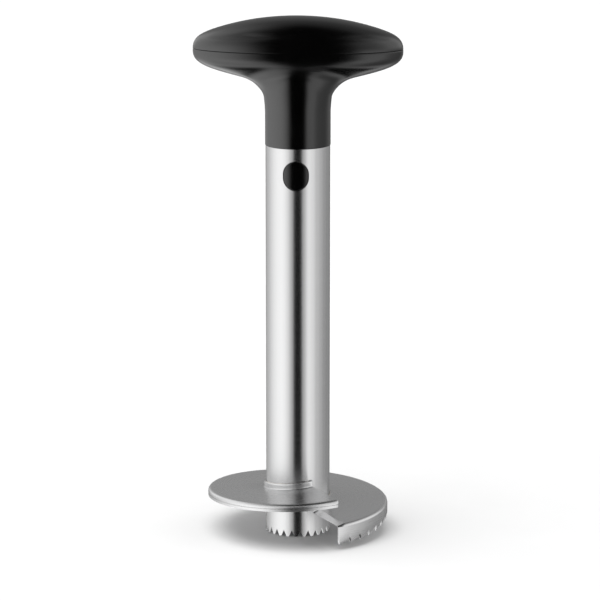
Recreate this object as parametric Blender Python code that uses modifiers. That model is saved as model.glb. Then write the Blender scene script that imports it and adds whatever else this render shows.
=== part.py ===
"""T-handled spiral slicer: a steel coring tube with a helical blade, and a
two-piece grip whose plug locks into the tube with two sprung buttons.

Origin on the tube's axis, at the tips of the tube's teeth. +Z runs up the
tube to the grip, X lies along the grip, and -Y is the front.
Dimensions below are in millimetres.
"""

import math

import bmesh
import bpy
from mathutils import Matrix

MM = 0.001
GAP = 0.3                 # clearance kept between neighbouring pieces

# coring tube
TUBE_R = 15.0             # outside radius
TUBE_WALL = 0.6
TUBE_TOP = 184.5
TUBE_STEPS = 72
TOOTH_COUNT = 24          # saw teeth round the lower rim
TOOTH_DEPTH = 3.0
TOOTH_TIP = 0.8           # flat left at each tip

# release buttons and the windows they look out of
BUTTON_Z = 172.0
BUTTON_W = 11.3
BUTTON_H = 13.0
BUTTON_FACE_R = 14.9      # the face follows the tube's curve
BUTTON_FLANGE = (5.0, 9.2)  # half width, half height
BUTTON_FLANGE_Y = (10.5, 9.0)
SPRING_POCKET = (3.6, 12.9)  # radius, depth from the tube's axis

# slicing blade
BLADE_R = 42.5            # outside radius over the rim
BLADE_T = 0.8
BLADE_Z = 12.0            # height of the leading edge
BLADE_PITCH = 12.0        # rise over the one turn
BLADE_START = -60.0       # angle of the leading edge, degrees
LIP_RISE = 3.2            # collar turned up round the tube
RIM_TALL = 9.4            # rim depth at the leading edge
RIM_LOW = 3.0             # rim depth after the taper
RIM_TAPER = 150.0         # degrees over which the rim tapers
RIM_TEETH = 12
RIM_TOOTH_SPAN = 100.0    # degrees of rim that carry teeth
RIM_TOOTH_DEPTH = 1.7

# grip
SEAM_Z = 229.0            # plane where the cap meets the body
GRIP_A = 48.6             # half length
GRIP_B = 20.0             # half depth
GRIP_RISE = 15.3          # cap height above the seam
NECK_R = 15.2
NECK_BOTTOM = 184.8
GRIP_WALL = 2.0
GRIP_SEGMENTS = 40
PEG_X = 27.0              # cap pegs and their sockets
SOCKET_FOOT = 10.8        # depth under the seam, inside the wall that the socket stands on

# plug inside the tube and neck
PLUG_R = 14.1
PLUG_BOTTOM = 151.0
PLUG_INNER_R = 11.9
SPIGOT_R = 12.9
SPIGOT_TOP = 207.0
FLOOR = (207.3, 209.8)    # floor in the neck that the plug is screwed to
SCREW_CIRCLE = 8.2
SCREW_R = 1.5

# springs
WIRE_R = 0.35
SPRING_R = 2.85
SPRING_TURNS = 6.0


# ---------------------------------------------------------------- helpers

for old in list(bpy.data.objects):
    bpy.data.objects.remove(old, do_unlink=True)

parts = bpy.data.collections.new("spiral_slicer")
cutters = bpy.data.collections.new("cutters")
bpy.context.scene.collection.children.link(parts)
bpy.context.scene.collection.children.link(cutters)


def material(name, colour, roughness, metallic):
    mat = bpy.data.materials.new(name)
    mat.use_nodes = True
    shader = mat.node_tree.nodes["Principled BSDF"]
    shader.inputs["Base Color"].default_value = (*colour, 1.0)
    shader.inputs["Roughness"].default_value = roughness
    shader.inputs["Metallic"].default_value = metallic
    mat.diffuse_color = (*colour, 1.0)
    return mat


STEEL = (0.62, 0.62, 0.63)
BLACK = (0.018, 0.018, 0.019)
SPRING_STEEL = (0.45, 0.46, 0.48)


def finish_mesh(bm, name):
    """Turn a bmesh in millimetres into a mesh in metres."""
    bmesh.ops.recalc_face_normals(bm, faces=bm.faces)
    bmesh.ops.scale(bm, vec=(MM, MM, MM), verts=bm.verts)
    mesh = bpy.data.meshes.new(name)
    bm.to_mesh(mesh)
    bm.free()
    return mesh


def add_part(name, mesh, mat=None):
    obj = bpy.data.objects.new(name, mesh)
    parts.objects.link(obj)
    if mat:
        mesh.materials.clear()
        mesh.materials.append(mat)
    mesh.shade_smooth()
    mesh.set_sharp_from_angle(angle=math.radians(35))
    return obj


def add_cutter(name, mesh):
    obj = bpy.data.objects.new(name, mesh)
    cutters.objects.link(obj)
    obj.hide_render = True
    obj.display_type = "WIRE"
    return obj


def combine(obj, other, operation):
    mod = obj.modifiers.new(other.name, "BOOLEAN")
    mod.operation = operation
    mod.solver = "EXACT"
    mod.object = other


def solidify(obj, thickness, offset):
    mod = obj.modifiers.new("wall", "SOLIDIFY")
    mod.thickness = thickness * MM
    mod.offset = offset
    mod.use_even_offset = True
    return mod


def box(name, low, high):
    bm = bmesh.new()
    bmesh.ops.create_cube(bm, size=1.0)
    size = [high[i] - low[i] for i in range(3)]
    middle = [(high[i] + low[i]) / 2 for i in range(3)]
    bmesh.ops.scale(bm, vec=size, verts=bm.verts)
    bmesh.ops.translate(bm, vec=middle, verts=bm.verts)
    return add_cutter(name, finish_mesh(bm, name))


def cylinder(name, radius, length, centre, axis="Z", segments=24):
    bm = bmesh.new()
    bmesh.ops.create_cone(bm, cap_ends=True, segments=segments,
                          radius1=radius, radius2=radius, depth=length)
    if axis == "Y":
        bmesh.ops.rotate(bm, matrix=Matrix.Rotation(math.pi / 2, 3, "X"), verts=bm.verts)
    bmesh.ops.translate(bm, vec=centre, verts=bm.verts)
    return add_cutter(name, finish_mesh(bm, name))


def oval_prism(name, width, height, y_low, y_high, z):
    """A prism along Y whose section is a circle of the width, stretched in Z to the height."""
    bm = bmesh.new()
    segments = 32
    bmesh.ops.create_cone(bm, cap_ends=True, segments=segments,
                          radius1=width / 2, radius2=width / 2, depth=y_high - y_low)
    bmesh.ops.rotate(bm, matrix=Matrix.Rotation(math.pi / segments, 3, "Z"), verts=bm.verts)
    bmesh.ops.rotate(bm, matrix=Matrix.Rotation(math.pi / 2, 3, "X"), verts=bm.verts)
    for v in bm.verts:
        v.co.z += math.copysign((height - width) / 2, v.co.z)
    bmesh.ops.translate(bm, vec=(0, (y_low + y_high) / 2, z), verts=bm.verts)
    return finish_mesh(bm, name)


def turned(name, profile, steps, mat):
    """A solid of revolution about Z. The profile is a list of (radius, z) that runs
    down the outer side and back up the inner side."""
    closed = profile[0][0] > 0
    bm = bmesh.new()
    verts = [bm.verts.new((r * MM, 0, z * MM)) for r, z in profile]
    for a, b in zip(verts, verts[1:]):
        bm.edges.new((a, b))
    if closed:
        bm.edges.new((verts[-1], verts[0]))
    mesh = bpy.data.meshes.new(name)
    bm.to_mesh(mesh)
    bm.free()
    obj = bpy.data.objects.new(name, mesh)
    parts.objects.link(obj)
    mesh.materials.append(mat)
    screw = obj.modifiers.new("turn", "SCREW")
    screw.axis = "Z"
    screw.angle = math.tau
    screw.steps = steps
    screw.render_steps = steps
    screw.use_merge_vertices = True
    screw.merge_threshold = 0.00001
    screw.use_smooth_shade = True
    weld = obj.modifiers.new("poles", "WELD")
    weld.merge_threshold = 0.00001
    return obj


def settle(obj):
    """Replace an object's mesh by its evaluated one, so that others can share it."""
    depsgraph = bpy.context.evaluated_depsgraph_get()
    mesh = bpy.data.meshes.new_from_object(obj.evaluated_get(depsgraph))
    mesh.name = obj.name
    obj.modifiers.clear()
    obj.data = mesh
    mesh.shade_smooth()
    mesh.set_sharp_from_angle(angle=math.radians(35))
    return mesh


def bezier(points, t):
    """A point of the Bezier curve with these control points."""
    pts = [tuple(p) for p in points]
    while len(pts) > 1:
        pts = [tuple(a + (b - a) * t for a, b in zip(p, q)) for p, q in zip(pts, pts[1:])]
    return pts[0]


def width_at(points, z):
    """Width of a Bezier profile of (width, height) at a height."""
    low, high = 0.0, 1.0
    falling = points[0][1] > points[-1][1]
    for _ in range(40):
        mid = (low + high) / 2
        if (bezier(points, mid)[1] > z) == falling:
            low = mid
        else:
            high = mid
    return bezier(points, (low + high) / 2)[0]


def grid_object(name, rows, mat, wrap, pole=None):
    """An open surface through rows of points. wrap joins each row's ends, and pole closes the last row."""
    bm = bmesh.new()
    made = [[bm.verts.new(p) for p in row] for row in rows]
    count = len(rows[0])
    for a, b in zip(made, made[1:]):
        for j in range(count if wrap else count - 1):
            k = (j + 1) % count
            bm.faces.new((a[j], a[k], b[k], b[j]))
    if pole:
        tip = bm.verts.new(pole)
        for j in range(count):
            bm.faces.new((made[-1][j], made[-1][(j + 1) % count], tip))
    return add_part(name, finish_mesh(bm, name), mat)


# -------------------------------------------------------------- core tube

steel = material("brushed_steel", STEEL, 0.28, 1.0)
black = material("satin_black_plastic", BLACK, 0.38, 0.0)
inner_black = material("plain_black_plastic", (0.03, 0.03, 0.03), 0.55, 0.0)
spring_mat = material("spring_wire", SPRING_STEEL, 0.3, 1.0)
screw_mat = material("zinc_screw", (0.55, 0.55, 0.56), 0.35, 1.0)

inner_r = TUBE_R - TUBE_WALL
core_tube = turned("core_tube", [(TUBE_R, TUBE_TOP), (TUBE_R, 0.0), (inner_r, 0.0),
                                 (inner_r, TUBE_TOP)], TUBE_STEPS, steel)

window = add_cutter("tube_windows", oval_prism("tube_windows", BUTTON_W + 2 * GAP, BUTTON_H + 2 * GAP,
                                               -20, 20, BUTTON_Z))
combine(core_tube, window, "DIFFERENCE")

# one triangular notch between each two teeth
bm = bmesh.new()
pitch = math.tau * TUBE_R / TOOTH_COUNT
half_notch = (pitch - TOOTH_TIP) / 2
below = 0.3
for n in range(TOOTH_COUNT):
    made = bmesh.ops.create_cone(bm, cap_ends=True, segments=3, radius1=1, radius2=1, depth=1.8)["verts"]
    bmesh.ops.rotate(bm, matrix=Matrix.Rotation(math.pi / 2, 3, "X"), verts=made)
    top = max(v.co.z for v in made)
    base = min(v.co.z for v in made)
    wide = max(abs(v.co.x) for v in made)
    spread = half_notch * (TOOTH_DEPTH + below) / TOOTH_DEPTH
    if sum(1 for v in made if v.co.z > base + 1e-4) > 2:   # apex pointing down: turn it over
        bmesh.ops.rotate(bm, matrix=Matrix.Rotation(math.pi, 3, "Y"), verts=made)
        top, base = -base, -top
    for v in made:
        v.co.z = -below + (v.co.z - base) / (top - base) * (TOOTH_DEPTH + below)
        v.co.x *= spread / wide
        v.co.y += -(TUBE_R - 0.25)
    bmesh.ops.rotate(bm, matrix=Matrix.Rotation(math.tau * (n + 0.5) / TOOTH_COUNT, 3, "Z"), verts=made)
notches = add_cutter("tooth_notches", finish_mesh(bm, "tooth_notches"))
combine(core_tube, notches, "DIFFERENCE")


# ---------------------------------------------------------- slicing blade

def rim_depth(turned_by):
    """How far the rim hangs below the disc, at an angle from the leading edge."""
    t = min(turned_by / RIM_TAPER, 1.0)
    ease = t * t * (3 - 2 * t)
    return RIM_TALL + (RIM_LOW - RIM_TALL) * ease


angles = []
per_tooth = RIM_TOOTH_SPAN / RIM_TEETH
for n in range(RIM_TEETH):
    # root, rise and tip of each raked tooth
    angles += [(n * per_tooth, 1.0), (n * per_tooth + 0.12 * per_tooth, 0.0),
               (n * per_tooth + 0.56 * per_tooth, 0.5)]
steps = 52
angles += [(RIM_TOOTH_SPAN + n * (360.0 - RIM_TOOTH_SPAN) / steps, 0.0) for n in range(steps + 1)]
rim_r = BLADE_R - BLADE_T / 2
lip_r = TUBE_R + GAP + BLADE_T / 2
columns = []
for angle, bite in angles:
    theta = math.radians(BLADE_START + angle)
    z = BLADE_Z + BLADE_PITCH * angle / 360.0
    depth = rim_depth(angle) - bite * RIM_TOOTH_DEPTH
    section = [
        (lip_r, LIP_RISE), (lip_r, 1.3), (lip_r + 0.35, 0.35), (lip_r + 1.2, 0.0),
        (29.0, 0.0),
        (rim_r - 1.0, 0.0), (rim_r - 0.3, -0.3), (rim_r, -1.0), (rim_r, -depth),
    ]
    columns.append([(r * math.cos(theta), r * math.sin(theta), z + h) for r, h in section])
slicing_blade = grid_object("slicing_blade", columns, steel, wrap=False)
solidify(slicing_blade, BLADE_T, 0.0)


# ------------------------------------------------------------------- grip

# Bezier profiles of (half width, height over the seam)
CAP_LINE = [(48.6, 0.0), (48.6, 9.4), (37.5, 7.2), (30.0, 15.3), (0.0, 15.3)]
LENS_LINE = [(48.6, 0.0), (48.6, -6.2), (49.0, -12.4), (-0.4, -13.2), (0.5, -25.9)]    # along the grip
LENS_DEPTH = [(20.0, 0.0), (20.0, -7.8), (17.5, -8.4), (1.0, -11.0), (0.3, -25.9)]     # across it
TAIL = -25.8              # end of the lens curves inside the neck
OVALITY = 1.89            # exponent of the plan's outline, 2 for a true ellipse
FILLET_FRONT = 4.0        # blend between lens and neck, across the grip
FILLET_SIDE = 10.4        # the same, along the grip
FLARE = 0.80              # the neck spreads by this along the grip, before it meets the lens
KEEL = 9.0                # half depth that the lens keeps where it runs down into the neck


def oval_radius(a, b, phi, power):
    return ((abs(math.cos(phi)) / a) ** power + (abs(math.sin(phi)) / b) ** power) ** (-1 / power)


def oval_ring(a, b, z):
    ring = []
    for n in range(GRIP_SEGMENTS):
        t = math.tau * n / GRIP_SEGMENTS
        phi = math.atan2(math.sin(t) * GRIP_B / GRIP_A, math.cos(t))
        r = oval_radius(a, b, phi, OVALITY)
        ring.append((r * math.cos(phi), r * math.sin(phi), SEAM_Z + z))
    return ring


def smooth(t):
    t = min(max(t, 0.0), 1.0)
    return t * t * (3 - 2 * t)


def lens_depth(z):
    keel = KEEL * smooth((z - TAIL) / 14.0) * smooth(-z / 10.0)
    return (max(width_at(LENS_DEPTH, z), 0.3) ** 5 + keel ** 5) ** 0.2


def grip_ring(z):
    """One ring of the grip's lower half: the lens and the neck, blended into each other."""
    evenness = min(max(-z / 20.0, 0.0), 1.0)     # 0 spaces the points along the long oval, 1 round a circle
    power = 2.0 + (OVALITY - 2.0) * max(1.0 + z / 12.0, 0.0)
    clamped = [max(min(v, 0.0), TAIL) for v in (z, z + 0.2, z - 0.2)]
    a0, a1, a2 = [max(width_at(LENS_LINE, v), 0.5) for v in clamped]
    b0, b1, b2 = [lens_depth(v) for v in clamped]
    run = clamped[1] - clamped[2]
    rise = smooth((z + 29.5) / 12.0)
    ring = []
    for n in range(GRIP_SEGMENTS):
        t = math.tau * n / GRIP_SEGMENTS
        x = math.cos(t)
        y = math.sin(t) * (GRIP_B / GRIP_A + (1 - GRIP_B / GRIP_A) * evenness)
        phi = math.atan2(y, x)
        if z < -30.0:
            r = NECK_R
        else:
            lens = oval_radius(a0, b0, phi, power)
            if z < TAIL:
                lens += (z - TAIL) * 3.0
            neck = NECK_R + FLARE * rise * math.cos(phi) ** 2
            if run > 0.01:
                slope = (oval_radius(a1, b1, phi, power) - oval_radius(a2, b2, phi, power)) / run
            else:
                slope = 0.4
            tilt = 1.0 / math.hypot(1.0, slope)
            blend = FILLET_FRONT + (FILLET_SIDE - FILLET_FRONT) * math.cos(phi) ** 2
            low, high = 0.0, 80.0
            for _ in range(44):
                r = (low + high) / 2
                d1, d2 = (r - lens) * tilt, r - neck
                overlap = max(blend - abs(d1 - d2), 0.0) / blend
                if min(d1, d2) - overlap * overlap * blend / 4 < 0:
                    low = r
                else:
                    high = r
        ring.append((r * math.cos(phi), r * math.sin(phi), SEAM_Z + z))
    return ring


heights = [-0.15, -1.4, -2.8, -4.2, -5.6, -7.0, -8.4, -9.8, -11.2, -12.6, -14.0, -15.5, -17.0,
           -18.8, -20.8, -23.2, -26.6, -31.0, NECK_BOTTOM - SEAM_Z]
rows = [grip_ring(z) for z in heights]
handle_body = grid_object("handle_body", rows, black, wrap=True)
solidify(handle_body, GRIP_WALL, -1.0)

floor = cylinder("neck_floor", 14.2, FLOOR[1] - FLOOR[0], (0, 0, sum(FLOOR) / 2), segments=48)
combine(handle_body, floor, "UNION")
for side in (-1, 1):
    name = "left" if side < 0 else "right"
    socket = cylinder(f"socket_{name}", 3.8, SOCKET_FOOT - 2.0, (side * PEG_X, 0, SEAM_Z - (SOCKET_FOOT + 2.0) / 2),
                      segments=20)
    combine(handle_body, socket, "UNION")
    hole = cylinder(f"socket_hole_{name}", 2.3, 8.0, (side * PEG_X, 0, SEAM_Z - 5.0), segments=20)
    combine(handle_body, hole, "DIFFERENCE")
screw_places = [(SCREW_CIRCLE * math.cos(math.radians(45 + 90 * n)),
                 SCREW_CIRCLE * math.sin(math.radians(45 + 90 * n))) for n in range(4)]
for n, (x, y) in enumerate(screw_places):
    combine(handle_body, cylinder(f"floor_hole_{n + 1}", SCREW_R + 0.4, 4.0,
                                  (x, y, sum(FLOOR) / 2), segments=16), "DIFFERENCE")


def cap_ring(z):
    a = width_at(CAP_LINE, z)
    return oval_ring(a, a * GRIP_B / GRIP_A, z)


cap_heights = [0.15, 1.6, 3.2, 4.9, 6.6, 8.3, 10.0, 11.6, 13.1, 14.3, 15.0]
handle_cap = grid_object("handle_cap", [cap_ring(z) for z in cap_heights], black, wrap=True,
                         pole=(0, 0, SEAM_Z + GRIP_RISE))
solidify(handle_cap, GRIP_WALL, -1.0)

# tongue that drops inside the body's edge all the way round
bm = bmesh.new()
low_edge, high_edge = [[bm.verts.new(p) for p in oval_ring(45.4, 16.7, z)] for z in (-1.6, 5.4)]
for n in range(GRIP_SEGMENTS):
    m = (n + 1) % GRIP_SEGMENTS
    bm.faces.new((low_edge[n], low_edge[m], high_edge[m], high_edge[n]))
tongue = add_cutter("cap_tongue", finish_mesh(bm, "cap_tongue"))
solidify(tongue, 1.0, 0.0)
combine(handle_cap, tongue, "UNION")
for side in (-1, 1):
    name = "left" if side < 0 else "right"
    peg = cylinder(f"peg_{name}", 2.0, 19.0, (side * PEG_X, 0, SEAM_Z + 1.6), segments=20)
    combine(handle_cap, peg, "UNION")


# ------------------------------------------------- plug and spring carrier

lock_insert = turned("lock_insert", [
    (0.0, SPIGOT_TOP), (SPIGOT_R - 0.6, SPIGOT_TOP), (SPIGOT_R, SPIGOT_TOP - 0.6),
    (SPIGOT_R, TUBE_TOP), (PLUG_R, TUBE_TOP), (PLUG_R, PLUG_BOTTOM + 0.8), (PLUG_R - 0.6, PLUG_BOTTOM),
    (PLUG_INNER_R, PLUG_BOTTOM), (PLUG_INNER_R, PLUG_BOTTOM + 1.2), (PLUG_INNER_R + 0.6, PLUG_BOTTOM + 1.5),
    (PLUG_INNER_R + 0.6, PLUG_BOTTOM + 2.6), (PLUG_INNER_R, PLUG_BOTTOM + 2.9),
    (PLUG_INNER_R, 183.0), (10.4, 186.0), (10.4, SPIGOT_TOP - 3.0), (0.0, SPIGOT_TOP - 3.0),
], 36, inner_black)
for n, (x, y) in enumerate(screw_places):
    combine(lock_insert, cylinder(f"boss_{n + 1}", 3.1, 12.0, (x, y, 199.0), segments=16), "UNION")
    combine(lock_insert, cylinder(f"boss_hole_{n + 1}", SCREW_R + 0.3, 13.5, (x, y, 201.25), segments=16),
            "DIFFERENCE")
plug_window = add_cutter("plug_windows", oval_prism("plug_windows", BUTTON_W + 2 * GAP, BUTTON_H + 2 * GAP,
                                                    -20.5, 20.5, BUTTON_Z))
combine(lock_insert, plug_window, "DIFFERENCE")

spring_carrier = turned("spring_carrier", [
    (0.0, 154.6), (11.0, 154.6), (11.5, 154.1), (11.5, 153.6), (11.95, 153.3), (11.95, 152.8),
    (11.5, 152.5), (11.5, 150.7), (PLUG_R, 150.7), (PLUG_R, 149.2), (PLUG_R - 0.8, 148.4), (0.0, 148.4),
], 36, inner_black)
combine(spring_carrier, box("carrier_web", (-9.3, -1.0, 154.0), (9.3, 1.0, 183.5)), "UNION")
combine(spring_carrier, cylinder("carrier_peg", 1.9, 7.2, (0, 0, BUTTON_Z), axis="Y", segments=16), "UNION")


# ------------------------------------------------------------- the buttons

button_front = add_part("button_front", oval_prism("button_front", BUTTON_W, BUTTON_H,
                                                   -18, -BUTTON_FLANGE_Y[1], BUTTON_Z), black)
combine(button_front, cylinder("button_face_curve", BUTTON_FACE_R, 30, (0, 0, BUTTON_Z), segments=96),
        "INTERSECT")
combine(button_front, box("button_flange", (-BUTTON_FLANGE[0], -BUTTON_FLANGE_Y[0], BUTTON_Z - BUTTON_FLANGE[1]),
                          (BUTTON_FLANGE[0], -BUTTON_FLANGE_Y[1], BUTTON_Z + BUTTON_FLANGE[1])), "UNION")
combine(button_front, cylinder("button_pocket", SPRING_POCKET[0], SPRING_POCKET[1] - 6.0,
                               (0, -(SPRING_POCKET[1] + 6.0) / 2, BUTTON_Z), axis="Y", segments=20), "DIFFERENCE")
button_mesh = settle(button_front)
button_mesh.transform(Matrix.Translation((0, 0, -BUTTON_Z * MM)))
button_front.location = (0, 0, BUTTON_Z * MM)
button_rear = bpy.data.objects.new("button_rear", button_mesh)
parts.objects.link(button_rear)
button_rear.location = (0, 0, BUTTON_Z * MM)
button_rear.rotation_euler = (0, 0, math.pi)


# ----------------------------------------------------------------- springs

def coil_points(start, end):
    """A compression spring along -Y with closed end coils, as (x, y, z)."""
    per_turn = 10
    total = int(SPRING_TURNS * per_turn)
    closed = 0.85                      # pitch of the end coils
    middle = (end - start - 2 * closed) / (SPRING_TURNS - 2)
    points, along = [], start
    for i in range(total + 1):
        turn = i / per_turn
        t = math.tau * turn
        points.append((SPRING_R * math.cos(t), -along, BUTTON_Z + SPRING_R * math.sin(t)))
        along += (closed if turn < 1 or turn >= SPRING_TURNS - 1 else middle) / per_turn
    return points


def spring(name, side):
    curve = bpy.data.curves.new(name, "CURVE")
    curve.dimensions = "3D"
    curve.bevel_depth = WIRE_R * MM
    curve.bevel_resolution = 2
    curve.use_fill_caps = True
    curve.resolution_u = 1
    curve.render_resolution_u = 0
    points = coil_points(1.0 + GAP + WIRE_R, SPRING_POCKET[1] - 0.25 - WIRE_R)
    line = curve.splines.new("POLY")
    line.points.add(len(points) - 1)
    for p, (x, y, z) in zip(line.points, points):
        p.co = (side * x * MM, side * y * MM, (z - BUTTON_Z) * MM, 1.0)
    curve.materials.append(spring_mat)
    obj = bpy.data.objects.new(name, curve)
    parts.objects.link(obj)
    obj.location = (0, 0, BUTTON_Z * MM)
    return obj


spring_front = spring("spring_front", 1)
spring_rear = spring("spring_rear", -1)


# ------------------------------------------------------------------ screws

head = FLOOR[1] + GAP
first_screw = turned("insert_screw_1", [
    (0.0, head + 2.0), (1.7, head + 1.85), (2.5, head + 1.4), (2.8, head + 0.8), (2.8, head),
    (SCREW_R, head), (SCREW_R, head - 12.5), (0.0, head - 14.3),
], 16, screw_mat)
for n, turn in enumerate((0, 90)):
    slot = box(f"recess_{n + 1}", (-1.6, -0.35, head + 0.9), (1.6, 0.35, head + 3.0))
    slot.rotation_euler = (0, 0, math.radians(turn))
    combine(first_screw, slot, "DIFFERENCE")
bpy.context.view_layer.update()
screw_mesh = settle(first_screw)
screws = [first_screw]
for n in range(1, 4):
    copy = bpy.data.objects.new(f"insert_screw_{n + 1}", screw_mesh)
    parts.objects.link(copy)
    screws.append(copy)
for obj, (x, y) in zip(screws, screw_places):
    obj.location = (x * MM, y * MM, 0)


# ------------------------------------------------------- what moves with what

handle_axis = bpy.data.objects.new("handle_lift_axis", None)
parts.objects.link(handle_axis)
for obj in (handle_body, handle_cap, lock_insert, spring_carrier, button_front, button_rear,
            spring_front, spring_rear, *screws):
    obj.parent = handle_axis
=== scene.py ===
"""Looks of the T-handled spiral slicer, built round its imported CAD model.

The modelling code below works in millimetres and MM turns them into metres.
Origin on the tube's axis at the tips of its teeth, +Z up to the grip, X along
the grip, -Y the front.
"""

import math

import bmesh
import bpy
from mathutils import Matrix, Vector, noise


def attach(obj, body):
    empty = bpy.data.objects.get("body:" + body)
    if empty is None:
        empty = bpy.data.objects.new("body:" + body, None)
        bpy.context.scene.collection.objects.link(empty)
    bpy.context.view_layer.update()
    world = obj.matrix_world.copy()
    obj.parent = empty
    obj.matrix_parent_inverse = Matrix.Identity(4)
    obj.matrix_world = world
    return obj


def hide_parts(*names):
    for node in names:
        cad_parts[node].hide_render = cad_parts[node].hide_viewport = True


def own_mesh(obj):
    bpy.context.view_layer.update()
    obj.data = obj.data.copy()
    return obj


MM = 0.001
FRONT = -math.pi / 2

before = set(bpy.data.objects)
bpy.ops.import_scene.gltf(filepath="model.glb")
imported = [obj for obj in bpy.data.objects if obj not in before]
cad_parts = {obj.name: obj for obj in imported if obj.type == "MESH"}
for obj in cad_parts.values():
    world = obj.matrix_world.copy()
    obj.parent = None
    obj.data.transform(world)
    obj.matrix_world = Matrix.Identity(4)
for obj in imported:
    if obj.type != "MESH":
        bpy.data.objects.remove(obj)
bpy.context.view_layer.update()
scene = bpy.context.scene


# ------------------------------------------------------------ mesh helpers

class Shell:
    """Points and faces of a surface, collected ring by ring, in millimetres."""

    def __init__(self):
        self.points = []
        self.faces = []

    def add(self, point):
        self.points.append(tuple(point))
        return len(self.points) - 1

    def ring(self, points):
        return [self.add(p) for p in points]

    def band(self, a, b, wrap=True):
        count = len(a)
        for j in range(count if wrap else count - 1):
            k = (j + 1) % count
            self.faces.append((a[j], a[k], b[k], b[j]))

    def fan(self, ring, tip):
        t = self.add(tip)
        for j in range(len(ring)):
            self.faces.append((ring[j], ring[(j + 1) % len(ring)], t))

    def loft(self, rings, first_tip=None, last_tip=None, close=False):
        made = [self.ring(r) for r in rings]
        for a, b in zip(made, made[1:]):
            self.band(a, b)
        if close:
            self.band(made[-1], made[0])
        if first_tip is not None:
            self.fan(made[0], first_tip)
        if last_tip is not None:
            self.fan(made[-1], last_tip)
        return made


def make_piece(name, shell, materials, sharp=38.0):
    mesh = bpy.data.meshes.new(name)
    mesh.from_pydata([(x * MM, y * MM, z * MM) for x, y, z in shell.points], [], shell.faces)
    bm = bmesh.new()
    bm.from_mesh(mesh)
    bmesh.ops.recalc_face_normals(bm, faces=bm.faces)
    bm.to_mesh(mesh)
    bm.free()
    for mat in materials:
        mesh.materials.append(mat)
    mesh.shade_smooth()
    mesh.set_sharp_from_angle(angle=math.radians(sharp))
    obj = bpy.data.objects.new(name, mesh)
    scene.collection.objects.link(obj)
    return obj


def circle(r, z, count=96, turn=0.0):
    return [(r * math.cos(turn + math.tau * n / count), r * math.sin(turn + math.tau * n / count), z)
            for n in range(count)]


def smooth(t):
    t = min(max(t, 0.0), 1.0)
    return t * t * (3 - 2 * t)


def bezier(points, t):
    pts = [tuple(p) for p in points]
    while len(pts) > 1:
        pts = [tuple(a + (b - a) * t for a, b in zip(p, q)) for p, q in zip(pts, pts[1:])]
    return pts[0]


def width_at(points, z):
    """Width of a Bezier profile of (width, height) at a height."""
    low, high = 0.0, 1.0
    falling = points[0][1] > points[-1][1]
    for _ in range(40):
        mid = (low + high) / 2
        if (bezier(points, mid)[1] > z) == falling:
            low = mid
        else:
            high = mid
    return bezier(points, (low + high) / 2)[0]


def rounding(radius, steps=3):
    """(inset, drop) pairs of a quarter round, from the flat end face to the side."""
    return [(radius - radius * math.cos(math.radians(a)), radius - radius * math.sin(math.radians(a)))
            for a in [90 - 90 * n / steps for n in range(steps + 1)]]


def merge(name, pieces, materials, sharp=38.0):
    """One solid from several closed shells that overlap."""
    base = pieces[0]
    for other in pieces[1:]:
        mod = base.modifiers.new(other.name, "BOOLEAN")
        mod.operation = other.get("cut") and "DIFFERENCE" or "UNION"
        mod.solver = "EXACT"
        mod.object = other
    bpy.context.view_layer.update()
    graph = bpy.context.evaluated_depsgraph_get()
    mesh = bpy.data.meshes.new_from_object(base.evaluated_get(graph))
    mesh.name = name
    mesh.materials.clear()
    for mat in materials:
        mesh.materials.append(mat)
    for old in pieces:
        bpy.data.objects.remove(old, do_unlink=True)
    mesh.shade_smooth()
    mesh.set_sharp_from_angle(angle=math.radians(sharp))
    obj = bpy.data.objects.new(name, mesh)
    scene.collection.objects.link(obj)
    return obj


# --------------------------------------------------------- material helpers

class Graph:
    """Short calls for building a node tree."""

    def __init__(self, tree):
        self.tree = tree

    def node(self, kind, inputs=None, **settings):
        made = self.tree.nodes.new(kind)
        for key, value in settings.items():
            setattr(made, key, value)
        for key, value in (inputs or {}).items():
            socket = made.inputs[key]
            if isinstance(value, bpy.types.NodeSocket):
                self.tree.links.new(value, socket)
            else:
                socket.default_value = value
        return made

    def math(self, operation, a, b=0.0, clamp=False):
        made = self.node("ShaderNodeMath", {0: a, 1: b}, operation=operation)
        made.use_clamp = clamp
        return made.outputs[0]

    def remap(self, value, low, high, to_low, to_high, kind="LINEAR"):
        made = self.node("ShaderNodeMapRange", {0: value, 1: low, 2: high, 3: to_low, 4: to_high},
                         interpolation_type=kind)
        return made.outputs[0]

    def noise(self, vector, scale, detail=3.0, rough=0.5, distort=0.0):
        made = self.node("ShaderNodeTexNoise", {"Vector": vector, "Scale": scale, "Detail": detail,
                                                "Roughness": rough, "Distortion": distort})
        return made.outputs["Fac"]

    def stretch(self, vector, scale):
        made = self.node("ShaderNodeMapping", {"Vector": vector, "Scale": scale})
        return made.outputs["Vector"]

    def mix_colour(self, factor, a, b):
        made = self.node("ShaderNodeMix", data_type="RGBA")
        for socket, value in ((made.inputs[0], factor), (made.inputs[6], a), (made.inputs[7], b)):
            if isinstance(value, bpy.types.NodeSocket):
                self.tree.links.new(value, socket)
            else:
                socket.default_value = value
        return made.outputs[2]


def grey(v, blue=0.0):
    return (v, v, v * (1 + blue), 1.0)


def new_material(name):
    mat = bpy.data.materials.new(name)
    mat.use_nodes = True
    graph = Graph(mat.node_tree)
    shader = mat.node_tree.nodes["Principled BSDF"]
    where = graph.node("ShaderNodeTexCoord").outputs["Object"]
    return mat, graph, shader, where


def set_inputs(graph, shader, values):
    for key, value in values.items():
        if isinstance(value, bpy.types.NodeSocket):
            graph.tree.links.new(value, shader.inputs[key])
        else:
            shader.inputs[key].default_value = value


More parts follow.
